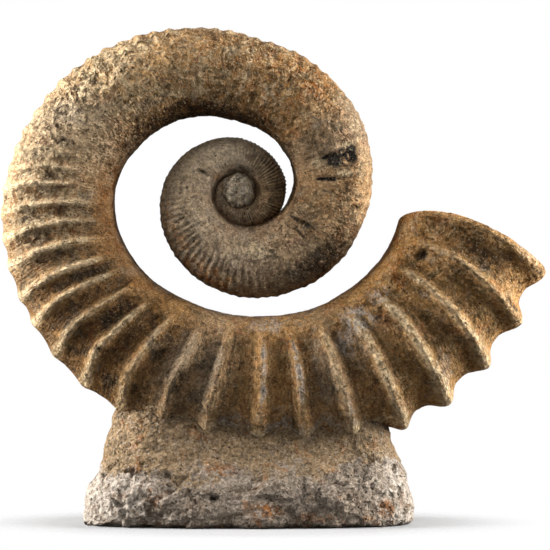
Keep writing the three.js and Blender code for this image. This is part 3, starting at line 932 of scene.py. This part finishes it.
def rock_finish(colours):
    """Rough rock: sandy above, grey and chalky below, with painted light towards both ends, rust,
    dark crevices and a painted shadow.
    """
    f = Finish("rough_rock")
    axes = f.node("ShaderNodeSeparateXYZ", Vector=f.place).outputs
    height, side = axes["Z"], axes["X"]
    broad, patch = f.noise(40, 4), f.noise(14, 6, 0.68, twist=0.6)
    mottle, grit = f.noise(5, 3, 0.6, twist=0.6), f.noise(2.4, 1)
    crinkle, chips, grains = f.ridges(5.5), f.shards(5), f.shards(3)
    # Chalk patches in the grey rock, lighter towards both ends of the block with painted light from
    # the side lamps
    uneven_side = f.plus(side, f.between(broad, 0.3, 0.7, -0.03, 0.03))
    chalk_patches_and_painted_light = f.between(uneven_side, -0.06, -0.11, 0.3, 1)
    chalk_patches_and_painted_light = f.math("MAXIMUM", chalk_patches_and_painted_light, f.between(side, 0.1, 0.13))
    stone = f.mix(f.times(f.between(patch, 0.36, 0.56), chalk_patches_and_painted_light), colours.grey, colours.chalk_and_painted_light)
    sand = f.mix(f.between(patch, 0.5, 0.66, 0, 0.5), colours.sand, colours.grey)
    edge = f.plus(
        height,
        f.times(side, -0.03),
        f.between(broad, 0.25, 0.75, -0.014, 0.014),
        f.between(patch, 0.2, 0.8, -0.01, 0.01),
        f.between(mottle, 0.2, 0.8, -0.004, 0.004),
    )
    f.colour = f.mix(f.between(edge, 0.047, 0.054), stone, sand)
    rusty = f.between(f.noise(22, 5, 0.65, twist=0.8), 0.54, 0.66, 0, 0.8)
    rusty = f.math("MAXIMUM", rusty, f.fact("rust"))
    f.coat(f.times(rusty, f.between(mottle, 0.4, 0.55)), colours.rust)
    # Dark patches and marks, one of them a painted shadow along the edge of a broken face
    dark = f.between(f.noise(8, 5, 0.7, twist=1.0), 0.58, 0.7, 0, 0.5)
    f.coat(f.math("MAXIMUM", dark, f.fact("dark")), colours.stain_and_painted_shade)
    raised = f.times(f.between(crinkle, 0.85, 1.1), f.between(patch, 0.32, 0.56, 0.1, 0.4))
    f.coat(raised, colours.chalk_and_painted_light)
    pits = f.times(f.between(f.cells(4), 0.34, 0.14), f.between(mottle, 0.5, 0.6))
    sunk = f.math("MAXIMUM", pits, f.times(f.between(crinkle, 0.2, 0.05), 0.4))
    f.coat(f.times(sunk, 0.7), colours.stain_and_painted_shade)
    f.coat(1.0, f.between(grit, 0.32, 0.68, 0.75, 1.25), "MULTIPLY")
    speck = f.noise(1.8, 2, 0.6)
    f.coat(f.between(speck, 0.58, 0.68, 0, 0.6), colours.chalk_and_painted_light)
    f.coat(f.between(speck, 0.4, 0.3, 0, 0.8), colours.stain_and_painted_shade)
    relief = (
        f.times(crinkle, 0.5),
        f.times(chips, 0.6),
        f.times(grains, 0.7),
        f.times(mottle, 0.9),
        f.times(grit, 0.5),
        f.times(pits, -1.5),
    )
    return f.stone(f.between(mottle, 0.3, 0.7, 0.82, 0.97), f.plus(*relief))


def floor_finish(colour):
    """Pale floor that throws little light back, and fades into the white surroundings."""
    f = Finish("pale_floor")
    f.surface.inputs["Roughness"].default_value = 0.9
    f.surface.inputs["Specular IOR Level"].default_value = 0.1
    seen = f.node("ShaderNodeLightPath").outputs["Is Camera Ray"]
    f.wire(f.surface.inputs["Base Color"], f.mix(seen, FLOOR_BOUNCE, colour))
    f.surface.inputs["Emission Color"].default_value = (1, 1, 1, 1)
    f.wire(f.surface.inputs["Emission Strength"], f.times(seen, FLOOR_GLOW))
    away = f.vector("LENGTH", f.vector("MULTIPLY", f.place, FLOOR_STRETCH), (0, 0, 0))
    faded = f.node("ShaderNodeMixShader", Fac=f.between(away, *FLOOR_FADE))
    f.wire(faded.inputs[1], f.surface.outputs["BSDF"])
    f.wire(faded.inputs[2], f.node("ShaderNodeBsdfTransparent").outputs["BSDF"])
    f.wire(f.tree.nodes["Material Output"].inputs["Surface"], faded.outputs["Shader"])
    return f.material


# Stage

# The camera's view: pixels across, what one pixel covers at the coil's plane, and the point of that
# plane at the middle of the view
FRAME_PIXELS = 550
PIXEL_SIZE = 0.9
VIEW_X, VIEW_Z = 24.3, 222.7
VIEW_DISTANCE = 2500
SENSOR = 36
FLOOR_REACH = 12
# Distance from the middle, in metres, over which the floor fades out, and how much shorter it is
# towards the front and back
FLOOR_FADE, FLOOR_STRETCH = (0.15, 0.27), (1, 1.6, 1)
# Colour of the floor as the object's own light bounces off it
FLOOR_BOUNCE = (0.12, 0.12, 0.12)
# Glow of the floor, as the camera sees it
FLOOR_GLOW = 0.04
# Large lamps all round: name, place, size, share of the side light
LAMPS = (
    ("left_lamp", (-1.2, -0.08, 0.64), (0.5, 1.0), 1.0),
    ("right_lamp", (1.2, -0.1, 0.62), (0.5, 1.0), 0.9),
    ("front_lamp", (-0.5, -2.2, 1.3), (1.2, 1.2), 0.26),
    ("back_lamp", (0.5, 2.2, 1.3), (1.2, 1.2), 0.34),
)
LAMP_AIM = (0, 0, 0.24)


def make_camera():
    data = bpy.data.cameras.new("camera")
    data.sensor_width = SENSOR
    data.lens = SENSOR * VIEW_DISTANCE / (FRAME_PIXELS * PIXEL_SIZE)
    camera = add_object("camera", data)
    camera.location = Vector((VIEW_X, -VIEW_DISTANCE, VIEW_Z)) * MM
    camera.rotation_euler = (math.radians(90), 0, 0)
    bpy.context.scene.camera = camera


def make_light(name, place, size, watts):
    data = bpy.data.lights.new(name, "AREA")
    data.shape = "RECTANGLE"
    data.size, data.size_y = size
    data.energy = watts
    light = add_object(name, data)
    light.location = place
    light.rotation_euler = (Vector(LAMP_AIM) - Vector(place)).to_track_quat("-Z", "Y").to_euler()


def make_world(strength):
    """Soft fill all round, seen by the camera as plain white."""
    world = bpy.data.worlds.new("studio")
    bpy.context.scene.world = world
    world.use_nodes = True
    tree = world.node_tree
    mixed = tree.nodes.new("ShaderNodeMixShader")
    seen = tree.nodes.new("ShaderNodeLightPath").outputs["Is Camera Ray"]
    tree.links.new(seen, mixed.inputs["Fac"])
    fill, white = tree.nodes["Background"], tree.nodes.new("ShaderNodeBackground")
    for socket, light, level in ((1, fill, strength), (2, white, 1)):
        light.inputs["Color"].default_value = (1, 1, 1, 1)
        light.inputs["Strength"].default_value = level
        tree.links.new(light.outputs["Background"], mixed.inputs[socket])
    tree.links.new(mixed.outputs["Shader"], tree.nodes["World Output"].inputs["Surface"])


def make_floor(colour):
    mesh = bpy.data.meshes.new("floor")
    signs = ((-1, -1), (1, -1), (1, 1), (-1, 1))
    corners = [(x * FLOOR_REACH, y * FLOOR_REACH, 0) for x, y in signs]
    mesh.from_pydata(corners, [], [(0, 1, 2, 3)])
    mesh.materials.append(floor_finish(colour))
    floor = add_object("floor", mesh)


# Settings, operators and panel


def colour_of(name, description, *screen):
    kind = {"subtype": "COLOR", "size": 3, "min": 0, "max": 1}
    return bpy.props.FloatVectorProperty(
        name=name, description=description, default=linear(*screen), **kind
    )


def relief_of(name, description, least, most):
    kind = {"default": 1.0, "subtype": "FACTOR", "min": least, "max": most}
    return bpy.props.FloatProperty(name=name, description=description, **kind)


class ShellSettings(bpy.types.PropertyGroup):
    rib_relief: relief_of("Rib relief", "Depth of valleys, as a share of the real one", 0.5, 1.2)
    grain_relief: relief_of("Grain relief", "Height of grain, as a share of the real one", 0, 2)
    ochre: colour_of("Ochre", "Main colour of the shell", 132, 97, 48)
    tan: colour_of("Tan", "Paler patches of the shell", 174, 130, 74)
    olive: colour_of("Olive", "Darker patches of the shell", 88, 70, 36)
    taupe: colour_of("Taupe", "Grey of the tight coil", 158, 144, 126)
    crust: colour_of("Crust", "Pale crust on the shell", 182, 158, 122)
    crest: colour_of("Crest", "Worn rib crests", 212, 188, 150)
    valley: colour_of("Valley", "Stain that darkens the valleys between ribs", 164, 148, 128)
    # Blue-grey dust, also laid as painted highlights along rib crests and as painted light under
    # the whorl and on the button
    chalk_and_painted_light: colour_of("Chalk", "Blue-grey dust", 164, 160, 154)
    rust: colour_of("Rust", "Rusty patches", 146, 88, 36)
    amber: colour_of("Amber", "Smooth inner edge of the loop", 112, 68, 26)
    # Also laid as painted shade on the inner whorl, the loop's inner edge and the coil's lower
    # right
    stain_and_painted_shade: colour_of("Stain", "Dark specks and pits", 32, 27, 22)


class RockSettings(bpy.types.PropertyGroup):
    grain_relief: relief_of("Grain relief", "Height of lumps, as a share of the real one", 0, 2)
    sand: colour_of("Sand", "Sandy upper rock", 136, 113, 84)
    grey: colour_of("Grey", "Grey lower rock", 116, 101, 85)
    # Pale patches, also laid as painted light at both ends of the block
    chalk_and_painted_light: colour_of("Chalk", "Pale patches of the lower rock", 175, 163, 149)
    rust: colour_of("Rust", "Rusty patches", 132, 86, 46)
    # Also laid as a painted shadow along the edge of a broken face
    stain_and_painted_shade: colour_of("Stain", "Dark specks and pits", 40, 34, 28)


class StageSettings(bpy.types.PropertyGroup):
    floor: colour_of("Floor", "Colour of the floor", 158, 158, 158)
    side_light: bpy.props.FloatProperty(
        name="Side light",
        description="Power of the large lamp at the left, which the others follow",
        default=52.0,
        min=0.0,
        subtype="POWER",
        unit="POWER",
    )
    fill_light: bpy.props.FloatProperty(
        name="Fill light",
        description="Strength of the soft light from all round",
        default=0.065,
        min=0.0,
    )


class FOSSIL_OT_add_shell(bpy.types.Operator):
    """Build the coiled shell with its ribs, wear and finish"""

    bl_idname = "fossil.add_shell"
    bl_label = "Add Shell"

    def execute(self, context):
        settings = context.scene.fossil_shell
        shell = make_shell(settings)
        shell.data.materials.clear()
        shell.data.materials.append(shell_finish(settings))
        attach(shell, "root")
        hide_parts("ammonite")
        return {"FINISHED"}


class FOSSIL_OT_add_block(bpy.types.Operator):
    """Build the rock block with the saddle that the shell stands in"""

    bl_idname = "fossil.add_block"
    bl_label = "Add Rock Block"

    def execute(self, context):
        settings = context.scene.fossil_rock
        block = make_block(settings, context.scene.fossil_shell)
        block.data.materials.clear()
        block.data.materials.append(rock_finish(settings))
        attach(block, "root")
        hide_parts("matrix_block")
        return {"FINISHED"}


class FOSSIL_OT_add_stage(bpy.types.Operator):
    """Add the camera, floor and studio light"""

    bl_idname = "fossil.add_stage"
    bl_label = "Add Stage"

    def execute(self, context):
        settings = context.scene.fossil_stage
        make_camera()
        make_floor(settings.floor)
        make_world(settings.fill_light)
        for name, place, size, share in LAMPS:
            make_light(name, place, size, settings.side_light * share)
        context.scene.view_settings.view_transform = "Standard"
        return {"FINISHED"}


class FOSSIL_PT_panel(bpy.types.Panel):
    """Lists the fossil's pieces and their settings"""

    bl_idname = "FOSSIL_PT_panel"
    bl_label = "Fossil"
    bl_space_type = "VIEW_3D"
    bl_region_type = "UI"
    bl_category = "Fossil"

    def draw(self, context):
        for (group, kind), operator in zip(SETTINGS.items(), OPERATORS):
            box = self.layout.box()
            for name in kind.__annotations__:
                box.prop(getattr(context.scene, group), name)
            box.operator(operator.bl_idname)


SETTINGS = {
    "fossil_shell": ShellSettings,
    "fossil_rock": RockSettings,
    "fossil_stage": StageSettings,
}
OPERATORS = (FOSSIL_OT_add_shell, FOSSIL_OT_add_block, FOSSIL_OT_add_stage)
CLASSES = (*SETTINGS.values(), *OPERATORS, FOSSIL_PT_panel)


def register():
    for made in CLASSES:
        bpy.utils.register_class(made)
    for name, kind in SETTINGS.items():
        setattr(bpy.types.Scene, name, bpy.props.PointerProperty(type=kind))


def unregister():
    for name in SETTINGS:
        delattr(bpy.types.Scene, name)
    for made in reversed(CLASSES):
        bpy.utils.unregister_class(made)


def main():
    register()
    bpy.ops.fossil.add_shell()
    bpy.ops.fossil.add_block()
    bpy.ops.fossil.add_stage()


if __name__ == "__main__":
    main()
